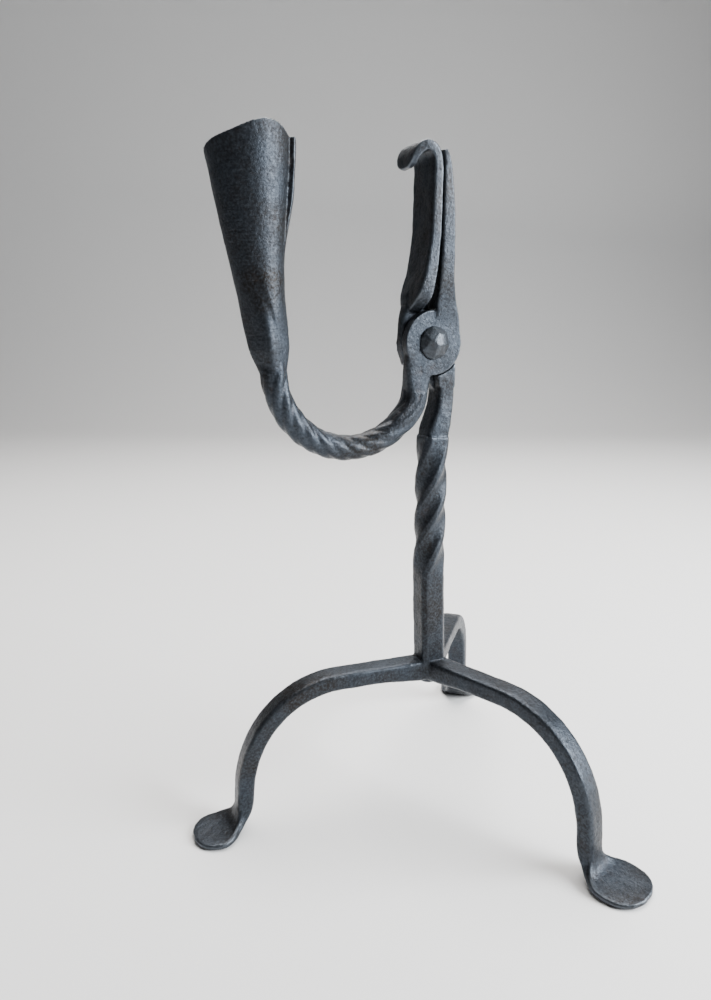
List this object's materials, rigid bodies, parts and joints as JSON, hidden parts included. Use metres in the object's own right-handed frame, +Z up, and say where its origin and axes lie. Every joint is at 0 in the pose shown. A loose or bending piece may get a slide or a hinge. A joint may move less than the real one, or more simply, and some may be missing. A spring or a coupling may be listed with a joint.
{
  "type": "rush holder",
  "caption": "Hand-forged iron rush holder: jaws closed by the weight of a conical candle socket on a twisted arm, on a twisted stem with arched legs.",
  "frame": {"origin": "middle of the object's bounding box, on the surface that the feet stand on", "axes": "+Z up; -Y is the front, where the rivet's domed head is; -X is the side of the candle socket; the hinge turns about Y"},
  "size_m": [0.1602, 0.1572, 0.2385],
  "materials": {
    "stem_iron": "waxed blackened iron, hammered",
    "arm_iron": "waxed blackened iron, hammered and twisted",
    "socket_iron": "waxed blackened sheet iron, fine planishing marks",
    "rivet_iron": "hammer-faceted iron, worn on its facets",
    "leg_iron": "waxed blackened iron, rims of the feet worn bright"
  },
  "bodies": {
    "stand": {"stem": "stem_iron", "left_leg": "leg_iron", "right_leg": "leg_iron", "back_leg": "leg_iron", "pivot_rivet": "rivet_iron"},
    "arm": {"arm": "arm_iron", "candle_socket": "socket_iron"}
  },
  "joints": [
    {"name": "jaw_hinge", "type": "hinge", "parent": "stand", "child": "arm", "pos_m": [0.00988, 0.00793, 0.174], "axis": [0, 1, 0], "range_deg": [0, 40]}
  ]
}
